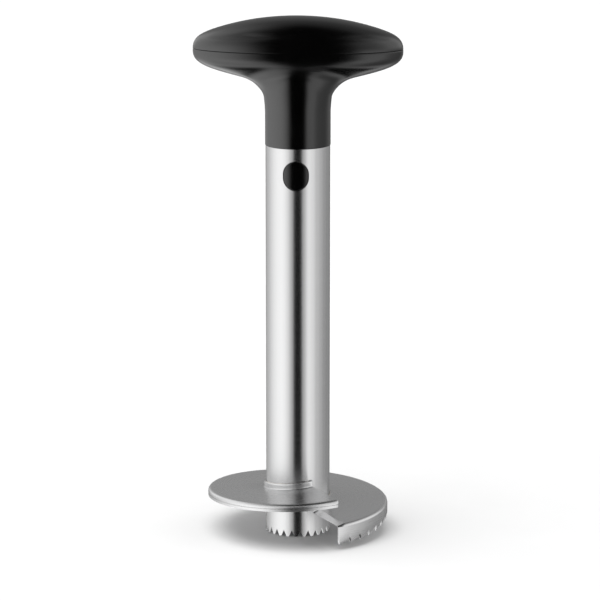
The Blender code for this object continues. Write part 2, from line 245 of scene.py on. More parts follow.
def steel(name, base, rough, streak_scale, turned=True, anisotropy=0.7, bump=0.05):
    """Satin stainless steel with fine grinding lines that run round the tube's axis."""
    mat, g, shader, where = new_material(name)
    fine = g.noise(g.stretch(where, streak_scale), 1.0, 4.0, 0.65)
    broad = g.noise(g.stretch(where, tuple(s * 0.12 for s in streak_scale)), 1.0, 2.0, 0.5)
    smudge = g.noise(where, 38.0, 3.0, 0.55, 0.6)
    pits = g.noise(where, 5200.0, 2.0, 0.5)
    streak = g.math("ADD", g.math("MULTIPLY", fine, 0.65), g.math("MULTIPLY", broad, 0.35))
    roughness = g.math("ADD", g.remap(streak, 0.3, 0.7, rough - 0.010, rough + 0.010),
                       g.remap(smudge, 0.35, 0.75, -0.005, 0.008))
    tone = g.remap(streak, 0.25, 0.75, 0.0, 1.0)
    colour = g.mix_colour(tone, grey(base * 0.985, 0.004), grey(base * 1.015, 0.004))
    height = g.math("ADD", streak, g.math("MULTIPLY", pits, 0.15))
    relief = g.node("ShaderNodeBump", {"Strength": bump, "Distance": 0.00003, "Height": height})
    values = {"Base Color": colour, "Metallic": 1.0, "Roughness": roughness, "Normal": relief.outputs[0]}
    if turned:
        values["Anisotropic"] = anisotropy
        values["Anisotropic Rotation"] = 0.25
        values["Tangent"] = g.node("ShaderNodeTangent", direction_type="RADIAL", axis="Z").outputs[0]
    set_inputs(g, shader, values)
    return mat


def plastic(name, base, rough, specular, grain, bump, smudge_scale=55.0):
    """Moulded black plastic: fine spark-eroded grain, and a gloss that varies where it is handled."""
    mat, g, shader, where = new_material(name)
    texture = g.noise(where, grain, 3.0, 0.6)
    swell = g.noise(where, grain * 0.11, 2.0, 0.5)
    handled = g.noise(where, smudge_scale, 3.0, 0.5, 0.4)
    specks = g.noise(where, grain * 0.5, 1.0, 0.4)
    roughness = g.math("ADD", g.remap(handled, 0.3, 0.7, rough - 0.025, rough + 0.025),
                       g.remap(texture, 0.3, 0.7, -0.012, 0.012))
    colour = g.mix_colour(g.remap(specks, 0.62, 0.75, 0.0, 1.0), grey(base, 0.03), grey(base * 1.8, 0.03))
    height = g.math("ADD", g.math("MULTIPLY", texture, 0.7), g.math("MULTIPLY", swell, 0.8))
    relief = g.node("ShaderNodeBump", {"Strength": bump, "Distance": 0.00004, "Height": height})
    set_inputs(g, shader, {"Base Color": colour, "Roughness": roughness, "Specular IOR Level": specular,
                           "Normal": relief.outputs[0]})
    return mat


def wire_steel(name, base, rough):
    mat, g, shader, where = new_material(name)
    drawn = g.noise(where, 4200.0, 3.0, 0.6)
    patch = g.noise(where, 420.0, 2.0, 0.5)
    colour = g.mix_colour(g.remap(patch, 0.3, 0.7, 0.0, 1.0), grey(base * 0.9, 0.02), grey(base * 1.08, 0.04))
    relief = g.node("ShaderNodeBump", {"Strength": 0.12, "Distance": 0.00002, "Height": drawn})
    set_inputs(g, shader, {"Base Color": colour, "Metallic": 1.0,
                           "Roughness": g.remap(drawn, 0.3, 0.7, rough - 0.05, rough + 0.05),
                           "Normal": relief.outputs[0]})
    return mat


def weld_steel(name):
    """Weld metal: rippled, with a straw and grey heat tint."""
    mat, g, shader, where = new_material(name)
    tint = g.noise(where, 260.0, 3.0, 0.6, 0.5)
    ripple = g.noise(where, 1900.0, 2.0, 0.5)
    colour = g.mix_colour(g.remap(tint, 0.35, 0.68, 0.0, 1.0), (0.60, 0.58, 0.54, 1.0), (0.44, 0.43, 0.44, 1.0))
    relief = g.node("ShaderNodeBump", {"Strength": 0.35, "Distance": 0.00006, "Height": ripple})
    set_inputs(g, shader, {"Base Color": colour, "Metallic": 1.0,
                           "Roughness": g.remap(ripple, 0.3, 0.7, 0.28, 0.42), "Normal": relief.outputs[0]})
    return mat


RING_STREAKS = (130.0, 130.0, 5200.0)


def disc_steel(name, base, rough):
    """Steel of the blade: grinding rings round the axis on the disc, and a brighter ground band at cutting edges."""
    mat, g, shader, where = new_material(name)
    split = g.node("ShaderNodeSeparateXYZ", {0: where})
    radius = g.math("SQRT", g.math("ADD", g.math("MULTIPLY", split.outputs[0], split.outputs[0]),
                                   g.math("MULTIPLY", split.outputs[1], split.outputs[1])))
    lines = g.node("ShaderNodeCombineXYZ", {
        0: g.math("MULTIPLY", split.outputs[0], 95.0),
        1: g.math("MULTIPLY", split.outputs[1], 95.0),
        2: g.math("ADD", g.math("MULTIPLY", radius, 4300.0), g.math("MULTIPLY", split.outputs[2], 4300.0)),
    })
    streak = g.noise(lines.outputs[0], 1.0, 4.0, 0.6)
    smudge = g.noise(where, 45.0, 3.0, 0.55, 0.6)
    ground = g.node("ShaderNodeAttribute", attribute_name="ground", attribute_type="GEOMETRY").outputs["Fac"]
    mask = g.remap(ground, 0.35, 0.65, 0.0, 1.0)
    cross = g.noise(g.stretch(where, (900.0, 900.0, 260.0)), 1.0, 3.0, 0.6)
    plain = g.remap(streak, 0.3, 0.7, rough - 0.03, rough + 0.035)
    honed = g.remap(cross, 0.3, 0.7, 0.14, 0.24)
    mixed = g.math("ADD", g.math("MULTIPLY", plain, g.math("SUBTRACT", 1.0, mask)), g.math("MULTIPLY", honed, mask))
    roughness = g.math("ADD", mixed, g.remap(smudge, 0.35, 0.75, -0.015, 0.03))
    satin = g.mix_colour(g.remap(streak, 0.25, 0.75, 0.0, 1.0), grey(base * 0.965, 0.004), grey(base * 1.03, 0.004))
    colour = g.mix_colour(mask, satin, grey(0.72, 0.006))
    height = g.math("ADD", g.math("MULTIPLY", streak, g.math("SUBTRACT", 1.0, mask)), g.math("MULTIPLY", cross, mask))
    relief = g.node("ShaderNodeBump", {"Strength": 0.10, "Distance": 0.00003, "Height": height})
    set_inputs(g, shader, {"Base Color": colour, "Metallic": 1.0, "Roughness": roughness,
                           "Normal": relief.outputs[0]})
    return mat


tube_steel = steel("satin_steel_tube", 0.51, 0.26, RING_STREAKS)
blade_steel = disc_steel("satin_steel_blade", 0.52, 0.27)
weld = weld_steel("weld_metal")
grip_black = plastic("satin_black_grip", 0.0006, 0.18, 0.9, 5200.0, 0.03)
button_black = plastic("satin_black_button", 0.0007, 0.17, 0.9, 6500.0, 0.03)
plug_black = plastic("plain_black_plug", 0.012, 0.46, 0.5, 4200.0, 0.12)
spring_wire = wire_steel("spring_wire_finish", 0.50, 0.28)
screw_zinc = wire_steel("zinc_screw_finish", 0.58, 0.34)


# ------------------------------------------------------- windowed sleeves

COLUMNS = 192
HALF_PATCH = 20           # columns from a window's middle to the edge of its patch
WINDOW_W = 11.9
WINDOW_H = 13.6
WINDOW_Z = 172.0


def window_edge(du, dz, grow=0.0):
    """Point on the window's outline, in x and z from its middle, in a direction."""
    length = math.hypot(du, dz)
    du, dz = du / length, dz / length
    radius = WINDOW_W / 2 + grow
    flat = (WINDOW_H - WINDOW_W) / 2
    if abs(du) > 1e-6:
        s = radius / abs(du)
        if abs(s * dz) <= flat:
            return s * du, s * dz
    s = flat * abs(dz) + math.sqrt((flat * dz) ** 2 - flat * flat + radius * radius)
    return s * du, s * dz


class Sleeve:
    """One wall surface of a tube with two opposite windows. It records its border rings."""

    def __init__(self, shell, radius, rows, patch, foot, edge, sign):
        # rows: heights from the foot up. patch: indices of the rows under and over the windows.
        # edge: rounding radius of the window's rim. sign: 1 outside, -1 inside.
        low, high = patch
        self.shell = shell
        self.radius = radius
        self.grid = {}
        blocked = {}
        for middle in (0, COLUMNS // 2):
            for c in range(-HALF_PATCH + 1, HALF_PATCH):
                blocked[(middle + c) % COLUMNS] = True
        for i, z in enumerate(rows):
            for c in range(COLUMNS):
                if low < i < high and c in blocked:
                    continue
                angle, height = foot(c, i, z)
                self.grid[c, i] = shell.add((radius * math.cos(angle), radius * math.sin(angle), height))
        for i in range(len(rows) - 1):
            for c in range(COLUMNS):
                d = (c + 1) % COLUMNS
                corners = [(c, i), (d, i), (d, i + 1), (c, i + 1)]
                inside = low <= i < high and any(
                    -HALF_PATCH <= ((c - m + COLUMNS // 2) % COLUMNS) - COLUMNS // 2 < HALF_PATCH
                    for m in (0, COLUMNS // 2))
                if not inside:
                    shell.faces.append(tuple(self.grid[k] for k in corners))
        self.windows = []
        for middle in (0, COLUMNS // 2):
            loop = [(c, low) for c in range(-HALF_PATCH, HALF_PATCH)]
            loop += [(HALF_PATCH, i) for i in range(low, high)]
            loop += [(c, high) for c in range(HALF_PATCH, -HALF_PATCH, -1)]
            loop += [(-HALF_PATCH, i) for i in range(high, low, -1)]
            base = FRONT + math.tau * middle / COLUMNS
            plan = [(math.tau * c / COLUMNS, rows[i]) for c, i in loop]
            rings = [[self.grid[(middle + c) % COLUMNS, i] for c, i in loop]]
            edges = []
            for turn, z in plan:
                x, dz = window_edge(radius * turn, z - WINDOW_Z)
                edges.append((math.asin(max(-1.0, min(1.0, x / radius))), WINDOW_Z + dz))
            steps = [("share", t) for t in (0.22, 0.44, 0.64, 0.80)]
            steps += [("away", edge * 2.6, 0.0)]
            steps += [("away", inset, drop) for drop, inset in
                      [(radius_in, flat_in) for radius_in, flat_in in
                       [(edge - edge * math.sin(a), edge - edge * math.cos(a)) for a in
                        (math.pi / 2, math.pi / 4, 0.0)]]]
            for step in steps:
                ring = []
                for (turn, z), (e_turn, e_z) in zip(plan, edges):
                    if step[0] == "share":
                        t = step[1]
                        a, h, r = turn + (e_turn - turn) * t, z + (e_z - z) * t, radius
                    else:
                        away, drop = step[1], step[2]
                        du, dv = (turn - e_turn) * radius, z - e_z
                        length = math.hypot(du, dv)
                        a = e_turn + du / length * away / radius
                        h = e_z + dv / length * away
                        r = radius - sign * drop
                    ring.append(shell.add((r * math.cos(base + a), r * math.sin(base + a), h)))
                shell.band(rings[-1], ring)
                rings.append(ring)
            self.windows.append(rings[-1])

    def row(self, i):
        return [self.grid[c, i] for c in range(COLUMNS)]


def column_angle(c):
    return FRONT + math.tau * c / COLUMNS


# ---- the coring tube

TEETH = 24
TOOTH_DEPTH = 3.0
TOOTH_HALF_TIP = math.degrees(0.4 / 15.0)
PER_TOOTH = COLUMNS // TEETH


def toothed_foot(c, i, z):
    """The lowest rows follow the saw teeth."""
    if z >= 8.0:
        return column_angle(c), z
    step = (c + PER_TOOTH // 2) % PER_TOOTH - PER_TOOTH // 2     # -4..3, 0 at a tip's middle
    across = abs(step)
    notch = 180.0 / TEETH
    regular = across * 360.0 / COLUMNS
    if across == 0:
        want, height = 0.0, 0.0
    else:
        want = TOOTH_HALF_TIP + (notch - TOOTH_HALF_TIP) * (across - 1) / (PER_TOOTH / 2 - 1)
        height = TOOTH_DEPTH * (want - TOOTH_HALF_TIP) / (notch - TOOTH_HALF_TIP)
    share = 1.0 - z / 8.0
    shift = math.copysign((want - regular) * share, step) if step else 0.0
    return column_angle(c) + math.radians(shift), height * share + z


def build_tube():
    shell = Shell()
    foot_rows = [0.0, 0.35, 1.0, 1.9, 3.0, 4.3, 6.0, 8.0]
    rows = foot_rows + [10.0 + 5.0 * n for n in range(30)]
    rows += [158.0, 161.0]
    low = len(rows) - 1
    rows += [161.0 + n for n in range(1, 23)]
    high = len(rows) - 1
    rows += [183.7, 184.2]
    outer = Sleeve(shell, 15.0, rows, (low, high), toothed_foot, 0.12, 1)
    inner = Sleeve(shell, 14.4, rows, (low, high), toothed_foot, 0.12, -1)
    for a, b in zip(outer.windows, inner.windows):
        shell.band(a, b)
    # the foot: the teeth are cut square across the wall
    shell.band(outer.row(0), inner.row(0))
    last = len(rows) - 1
    above, below = outer.row(last), inner.row(last)
    for inset, drop in reversed(rounding(0.12, 3)):
        ring = shell.ring([(  (15.0 - inset) * math.cos(column_angle(c)), (15.0 - inset) * math.sin(column_angle(c)),
                            184.5 - drop) for c in range(COLUMNS)])
        shell.band(above, ring)
        above = ring
        ring = shell.ring([((14.4 + inset) * math.cos(column_angle(c)), (14.4 + inset) * math.sin(column_angle(c)),
                            184.5 - drop) for c in range(COLUMNS)])
        shell.band(below, ring)
        below = ring
    shell.band(above, below)
    return make_piece("tube_skin", shell, [tube_steel], sharp=42.0)


def true_wall_normals(obj, walls):
    """Shade a tube's walls by the cylinder's own normals, so the faces round its windows leave no dent."""
    mesh = obj.data
    normals = [corner.vector.copy() for corner in mesh.corner_normals]
    for poly in mesh.polygons:
        for i in poly.loop_indices:
            p = mesh.vertices[mesh.loops[i].vertex_index].co
            r = math.hypot(p.x, p.y)
            for radius, sign in walls:
                radial = Vector((sign * p.x / r, sign * p.y / r, 0.0))
                if abs(r - radius * MM) < 2e-6 and poly.normal.dot(radial) > 0.75:
                    normals[i] = radial
    mesh.normals_split_custom_set(normals)


tube_skin = build_tube()
true_wall_normals(tube_skin, [(15.0, 1), (14.4, -1)])
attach(tube_skin, "tube")
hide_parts("core_tube")


# ---- the plug that carries the buttons

def build_plug():
    shell = Shell()
    rows = [152.4, 154.0, 156.5, 159.0, 161.0]
    low = len(rows) - 1
    rows += [161.0 + n for n in range(1, 23)]
    high = len(rows) - 1
    plain = lambda c, i, z: (column_angle(c), z)
    outer = Sleeve(shell, 14.1, rows, (low, high), plain, 0.3, 1)
    inner = Sleeve(shell, 11.9, rows, (low, high), plain, 0.3, -1)
    for a, b in zip(outer.windows, inner.windows):
        shell.band(a, b)

    def ring(r, z):
        return shell.ring([(r * math.cos(column_angle(c)), r * math.sin(column_angle(c)), z) for c in range(COLUMNS)])

    def run(start, steps):
        for r, z in steps:
            made = ring(r, z)
            shell.band(start, made)
            start = made
        return start

    top = run(outer.row(len(rows) - 1), [(14.1, 183.9), (14.0, 184.25), (13.8, 184.4), (12.9, 184.4), (12.9, 185.4),
                                         (12.9, 206.2), (12.7, 206.8), (12.3, 207.0), (6.0, 207.0)])
    shell.fan(top, (0, 0, 207.0))
    roof = run(inner.row(len(rows) - 1), [(11.7, 184.2), (10.4, 186.0), (10.4, 203.0), (9.4, 204.0), (5.0, 204.0)])
    shell.fan(roof, (0, 0, 204.0))
    rim_out = run(outer.row(0), [(14.1, 151.9), (14.02, 151.6), (13.6, 151.1), (13.4, 151.0)])
    rim_in = run(inner.row(0), [(11.9, 151.4), (12.0, 151.1), (12.1, 151.0)])
    shell.band(rim_out, rim_in)
    return make_piece("plug_skin", shell, [plug_black], sharp=35.0)


plug_skin = build_plug()
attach(plug_skin, "handle")
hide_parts("lock_insert")


# ---- the carrier: end cap, middle web and the pegs that hold the springs

def build_carrier():
    cap = Shell()
    rings = [circle(r, z) for r, z in [
        (11.0, 154.6), (11.35, 154.45), (11.5, 154.1), (11.5, 153.6), (11.95, 153.3), (11.95, 152.8), (11.5, 152.5),
        (11.5, 150.85), (11.6, 150.7), (13.8, 150.7), (14.03, 150.6), (14.1, 150.4), (14.1, 149.3), (13.95, 148.85),
        (13.6, 148.52), (13.1, 148.4), (11.0, 148.4), (10.6, 148.45), (10.3, 148.7), (9.9, 148.9), (5.0, 148.9)]]
    cap.loft(rings, first_tip=(0, 0, 154.6), last_tip=(0, 0, 148.9))
    first = make_piece("carrier_cap", cap, [plug_black])

    def slab(name, half_x, half_y, z_low, z_high, r):
        made = Shell()
        outline = []
        for cx, cy, start in ((half_x - r, half_y - r, 0), (-half_x + r, half_y - r, 90),
                              (-half_x + r, -half_y + r, 180), (half_x - r, -half_y + r, 270)):
            for n in range(5):
                a = math.radians(start + 22.5 * n)
                outline.append((cx, cy, math.cos(a), math.sin(a)))

        def at(inset, z):
            return [(cx + (r - inset) * ca, cy + (r - inset) * sa, z) for cx, cy, ca, sa in outline]

        steps = [at(i, z_low + d) for i, d in rounding(r, 3)]
        steps += [at(i, z_high - d) for i, d in reversed(rounding(r, 3))]
        made.loft(steps, first_tip=(0, 0, z_low), last_tip=(0, 0, z_high))
        return make_piece(name, made, [plug_black])

    web = slab("carrier_web", 9.3, 1.0, 154.0, 183.5, 0.3)
    peg = Shell()
    profile = [(1.9 - 0.3, 3.6), (1.82, 3.52), (1.9, 3.3), (1.9, -3.3), (1.82, -3.52), (1.6, -3.6)]
    peg.loft([[(r * math.cos(math.tau * n / 40), y, WINDOW_Z + r * math.sin(math.tau * n / 40)) for n in range(40)]
              for r, y in profile], first_tip=(0, 3.6, WINDOW_Z), last_tip=(0, -3.6, WINDOW_Z))
    pin = make_piece("carrier_peg", peg, [plug_black])
    return merge("carrier_skin", [first, web, pin], [plug_black], sharp=32.0)


carrier_skin = build_carrier()
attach(carrier_skin, "handle")
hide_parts("spring_carrier")


# ---------------------------------------------------------------- buttons

BUTTON_W = 11.5
BUTTON_H = 13.2
BUTTON_FACE_R = 14.9


def button_outline(count=128):
    radius, flat = BUTTON_W / 2, (BUTTON_H - BUTTON_W) / 2
    points = []
    for n in range(count):
        a = math.tau * (n + 0.5) / count
        x, z = radius * math.cos(a), radius * math.sin(a)
        points.append((x, z, math.cos(a), math.sin(a), math.copysign(flat, z)))
    return points


def build_button(name, side):
    """side -1 is the front button, 1 the rear one."""
    outline = button_outline()
    edge = 0.35

    def place(inset, drop=None, depth=None, scale=None):
        ring = []
        for x, z, nx, nz, lift in outline:
            px, pz = x - nx * inset, z - nz * inset + lift
            if scale is not None:
                px, pz = px * scale, pz * scale
            if depth is None:
                y = math.sqrt(BUTTON_FACE_R ** 2 - px * px) - drop
            else:
                y = depth
            ring.append((-side * px, side * y, WINDOW_Z + pz))
        return ring

    body = Shell()
    rings = [place(0.15, depth=9.0), place(0.0, depth=9.15), place(0.0, depth=10.6), place(0.0, depth=12.2)]
    rings.append(place(0.0, drop=edge + 0.35))
    for n in range(6):
        a = math.radians(90 * n / 5)
        rings.append(place(edge - edge * math.cos(a), drop=edge - edge * math.sin(a)))
    for scale in (0.985, 0.93, 0.85, 0.75, 0.64, 0.53, 0.42, 0.31, 0.20, 0.10):
        rings.append(place(edge, drop=0.0, scale=scale))
    body.loft(rings, first_tip=(0, side * 9.0, WINDOW_Z), last_tip=(0, side * BUTTON_FACE_R, WINDOW_Z))
    main = make_piece(name + "_body", body, [button_black], sharp=50.0)

    flange = Shell()
    r = 0.4
    corners = []
    for cx, cz, start in ((5.0 - r, 9.2 - r, 0), (-5.0 + r, 9.2 - r, 90), (-5.0 + r, -9.2 + r, 180), (5.0 - r, -9.2 + r, 270)):
        for n in range(5):
            a = math.radians(start + 22.5 * n)
            corners.append((cx, cz, math.cos(a), math.sin(a)))

    def plate(inset, y):
        return [(cx + (r - inset) * ca, side * y, WINDOW_Z + cz + (r - inset) * sa) for cx, cz, ca, sa in corners]

    flange.loft([plate(0.15, 9.0), plate(0.0, 9.15), plate(0.0, 10.35), plate(0.15, 10.5)],
                first_tip=(0, side * 9.0, WINDOW_Z), last_tip=(0, side * 10.5, WINDOW_Z))
    foot = make_piece(name + "_flange", flange, [button_black])

    pocket = Shell()
    pocket.loft([[(r * math.cos(math.tau * n / 48), side * y, WINDOW_Z + r * math.sin(math.tau * n / 48))
                  for n in range(48)] for r, y in ((3.6, 6.0), (3.6, 12.6), (3.3, 12.9))],
                first_tip=(0, side * 6.0, WINDOW_Z), last_tip=(0, side * 12.9, WINDOW_Z))
    hole = make_piece(name + "_pocket", pocket, [button_black])
    hole["cut"] = True
    return merge(name + "_skin", [main, foot, hole], [button_black], sharp=40.0)


for button, side in (("button_front", -1), ("button_rear", 1)):
    made = build_button(button, side)
    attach(made, button)
    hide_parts(button)


# ---------------------------------------------------------------- springs

def build_spring(name, side):
    """A compression spring with closed end coils, along Y behind a button."""
    wire, radius, turns, per_turn, around = 0.35, 2.85, 6.0, 40, 12
    start, end = 1.0 + 0.3 + wire, 12.9 - 0.25 - wire
    closed = 0.85
    middle = (end - start - 2 * closed) / (turns - 2)
    total = int(turns * per_turn)
    line, along = [], start
    for i in range(total + 1):
        turn = i / per_turn
        t = math.tau * turn
        line.append(Vector((-side * radius * math.cos(t), side * along, WINDOW_Z + radius * math.sin(t))))
        near_end = min(turn, turns - turn)
        rise = closed + (middle - closed) * smooth((near_end - 0.75) / 0.5)
        along += rise / per_turn
    last = abs(line[-1].y)
    for p in line:                       # the eased pitch still has to end at the button
        p.y = side * (start + (abs(p.y) - start) * (end - start) / (last - start))
    shell = Shell()
    rings = []
    for i, p in enumerate(line):
        ahead = line[min(i + 1, total)] - line[max(i - 1, 0)]
        ahead.normalize()
        out = Vector((p.x, 0, p.z - WINDOW_Z)).normalized()
        up = ahead.cross(out).normalized()
        rings.append([tuple(p + (out * math.cos(math.tau * n / around) + up * math.sin(math.tau * n / around)) * wire)
                      for n in range(around)])
    shell.loft(rings, first_tip=tuple(line[0]), last_tip=tuple(line[-1]))
    return make_piece(name, shell, [spring_wire])


for button, side in (("front", -1), ("rear", 1)):
    coil = build_spring("spring_%s_skin" % button, side)
    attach(coil, "handle")
    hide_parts("spring_" + button)
    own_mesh(coil)


# ------------------------------------------------------------------- blade

BLADE_T = 0.8
BLADE_Z = 12.0
BLADE_PITCH = 12.0
BLADE_START = -60.0
LIP_R = 15.7
LIP_RISE = 3.2
RIM_R = 42.1
RIM_TALL, RIM_LOW, RIM_TAPER = 9.4, 3.0, 150.0
RIM_TEETH, RIM_TOOTH_SPAN, RIM_TOOTH_DEPTH = 12, 100.0, 1.7
GROUND = 3.4              # width of the ground bevel behind the leading edge
RIM_GROUND = 1.5          # the same along the rim's lower edge


def rim_depth(angle):
    return RIM_TALL + (RIM_LOW - RIM_TALL) * smooth(angle / RIM_TAPER)


def tooth_bite(angle):
    """Raked teeth on the rim: a short steep face and a long back."""
    if angle >= RIM_TOOTH_SPAN:
        return 0.0
    pitch = RIM_TOOTH_SPAN / RIM_TEETH
    u = (angle % pitch) / pitch
    if u < 0.12:
        return 1.0 - u / 0.12
    return (u - 0.12) / 0.88


def build_blade():
    pitch = RIM_TOOTH_SPAN / RIM_TEETH
    angles = set([0.0, 0.35])
    for n in range(RIM_TEETH):
        for u in (0.0, 0.06, 0.12, 0.22, 0.34, 0.46, 0.58, 0.70, 0.82, 0.92):
            angles.add(round((n + u) * pitch, 5))
    a = RIM_TOOTH_SPAN
    while a < 359.2:
        angles.add(round(a, 5))
        a += 1.5
    angles |= {359.4, 359.75, 360.0}
    angles = sorted(angles)
    shell = Shell()
    ground_values = []
    tops, bottoms = [], []
    for angle in angles:
        theta = math.radians(BLADE_START + angle)
        ca, sa = math.cos(theta), math.sin(theta)
        z = BLADE_Z + BLADE_PITCH * angle / 360.0
        depth = rim_depth(angle) - tooth_bite(angle) * RIM_TOOTH_DEPTH
        lip_f, rim_f = 1.3, 1.1
        # (radius, height, normal radius, normal height, distance from the lip's top, distance from the rim's foot)
        section = []
        for h in (LIP_RISE, LIP_RISE - 0.07, LIP_RISE - 0.18, LIP_RISE - 0.4, (LIP_RISE + lip_f) / 2):
            section.append((LIP_R, h, -1.0, 0.0, LIP_RISE - h, 99.0))
        for n in range(7):
            b = math.radians(90.0 * n / 6)
            section.append((LIP_R + lip_f - lip_f * math.cos(b), lip_f - lip_f * math.sin(b),
                            -math.cos(b), -math.sin(b) * -1.0, 99.0, 99.0))
        for r in (18.4, 20.6, 23.2, 26.0, 29.0, 32.0, 35.0, 37.6, 39.6):
            section.append((r, 0.0, 0.0, 1.0, 99.0, 99.0))
        for n in range(7):
            b = math.radians(90.0 * n / 6)
            section.append((RIM_R - rim_f + rim_f * math.sin(b), -rim_f + rim_f * math.cos(b),
                            math.sin(b), math.cos(b), 99.0, 99.0))
        side = depth - rim_f
        for d in (side * 0.35, side - RIM_GROUND if side > RIM_GROUND + 0.3 else side * 0.6,
                  side - RIM_GROUND * 0.55 if side > RIM_GROUND + 0.3 else side * 0.8, side):
            section.append((RIM_R, -rim_f - d, 1.0, 0.0, 99.0, side - d))
        top, bottom = [], []
        for r, h, nr, nh, from_lip, from_foot in section:
            arc = math.radians(angle) * r
            half_top = half_bottom = BLADE_T / 2
            shade = 0.0
            if from_lip < 0.4:               # rounded top of the collar
                t = 1.0 - from_lip / 0.4
                half_top = half_bottom = BLADE_T / 2 * math.sqrt(max(1.0 - 0.72 * t * t, 0.0))
            on_disc = abs(nh) > 0.5
            if on_disc and arc < GROUND:     # the leading edge is ground on its upper side
                cut = (1.0 - arc / GROUND) * (BLADE_T - 0.14)
                half_top -= cut
                shade = 1.0
            if from_foot < RIM_GROUND and angle < RIM_TOOTH_SPAN + 20:
                blend = 1.0 - smooth((angle - RIM_TOOTH_SPAN) / 20.0)
                cut = (1.0 - from_foot / RIM_GROUND) * (BLADE_T - 0.2) * blend
                half_top -= cut
                shade = max(shade, blend if from_foot < RIM_GROUND * 0.98 else 0.0)
            if angle > 359.3:                # the trailing edge is only deburred
                t = (angle - 359.3) / 0.7
                half_top = half_bottom = BLADE_T / 2 * math.sqrt(max(1.0 - 0.6 * t * t, 0.0))
            top.append(shell.add(((r + nr * half_top) * ca, (r + nr * half_top) * sa, z + h + nh * half_top)))
            bottom.append(shell.add(((r - nr * half_bottom) * ca, (r - nr * half_bottom) * sa, z + h - nh * half_bottom)))
            ground_values += [shade, 0.0]
        tops.append(top)
        bottoms.append(bottom)
    for grid in (tops, bottoms):
        for a, b in zip(grid, grid[1:]):
            shell.band(a, b, wrap=False)
    for a, b, c, d in zip(tops, tops[1:], bottoms, bottoms[1:]):
        shell.faces.append((a[0], b[0], d[0], c[0]))
        shell.faces.append((a[-1], b[-1], d[-1], c[-1]))
    for top, bottom in ((tops[0], bottoms[0]), (tops[-1], bottoms[-1])):
        shell.band(top, bottom, wrap=False)
    obj = make_piece("blade_skin", shell, [blade_steel], sharp=36.0)
    layer = obj.data.attributes.new("ground", "FLOAT", "POINT")
    layer.data.foreach_set("value", ground_values)
    return obj


blade_skin = build_blade()
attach(blade_skin, "tube")
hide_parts("slicing_blade")


def build_weld():
    """The bead between the collar's top and the tube, with the ripples of a run of weld."""
    shell = Shell()
    rings = []
    around, steps = 10, 720
    for i in range(steps + 1):
        share = i / steps
        angle = 6.0 + 347.0 * share
        theta = math.radians(BLADE_START + angle)
        ripple = abs(math.sin(math.radians(angle) * 15.3 / 0.95 * math.pi / 2))
        wander = noise.noise(Vector((math.cos(theta) * 4, math.sin(theta) * 4, 1.3)))
        thick = 0.36 + 0.05 * ripple + 0.04 * wander
        taper = min(smooth(share * 60), smooth((1 - share) * 60))
        thick *= 0.35 + 0.65 * taper
        z = BLADE_Z + BLADE_PITCH * angle / 360.0 + LIP_RISE - 0.08 + 0.05 * wander
        radius = 15.16
        rings.append([((radius + thick * math.cos(math.tau * n / around)) * math.cos(theta),
                       (radius + thick * math.cos(math.tau * n / around)) * math.sin(theta),
                       z + thick * math.sin(math.tau * n / around)) for n in range(around)])
    first = tuple(sum(p[k] for p in rings[0]) / around for k in range(3))
    last = tuple(sum(p[k] for p in rings[-1]) / around for k in range(3))
    shell.loft(rings, first_tip=first, last_tip=last)
    return make_piece("blade_weld", shell, [weld], sharp=60.0)


blade_weld = build_weld()
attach(blade_weld, "tube")


# -------------------------------------------------------------------- grip

SEAM_Z = 229.0
GRIP_A, GRIP_B = 48.6, 20.0
GRIP_RISE = 15.3
NECK_R = 15.2
NECK_FOOT = 184.6
SEAM_GAP = 0.16
SEAM_EDGE = 0.22
SEGMENTS = 240
OVALITY = 1.89            # exponent of the plan's outline, 2 for a true ellipse
FILLET_FRONT, FILLET_SIDE = 4.0, 10.4
FLARE = 0.80              # the neck spreads by this along the grip, before it meets the lens
KEEL = 9.0               # half depth that the lens keeps where it runs down into the neck
TAIL = -25.8              # end of the lens curves inside the neck
# Bezier profiles of (half width, height over the seam)
CAP_LINE = [(48.6, 0.0), (48.6, 9.4), (37.5, 7.2), (30.0, 15.3), (0.0, 15.3)]
LENS_LINE = [(48.6, 0.0), (48.6, -6.2), (49.0, -12.4), (-0.4, -13.2), (0.5, -25.9)]
LENS_DEPTH = [(20.0, 0.0), (20.0, -7.8), (17.5, -8.4), (1.0, -11.0), (0.3, -25.9)]


def oval_radius(a, b, phi, power):
    return ((abs(math.cos(phi)) / a) ** power + (abs(math.sin(phi)) / b) ** power) ** (-1 / power)


def lens_depth(z):
    keel = KEEL * smooth((z - TAIL) / 14.0) * smooth(-z / 10.0)
    return (max(width_at(LENS_DEPTH, z), 0.3) ** 5 + keel ** 5) ** 0.2


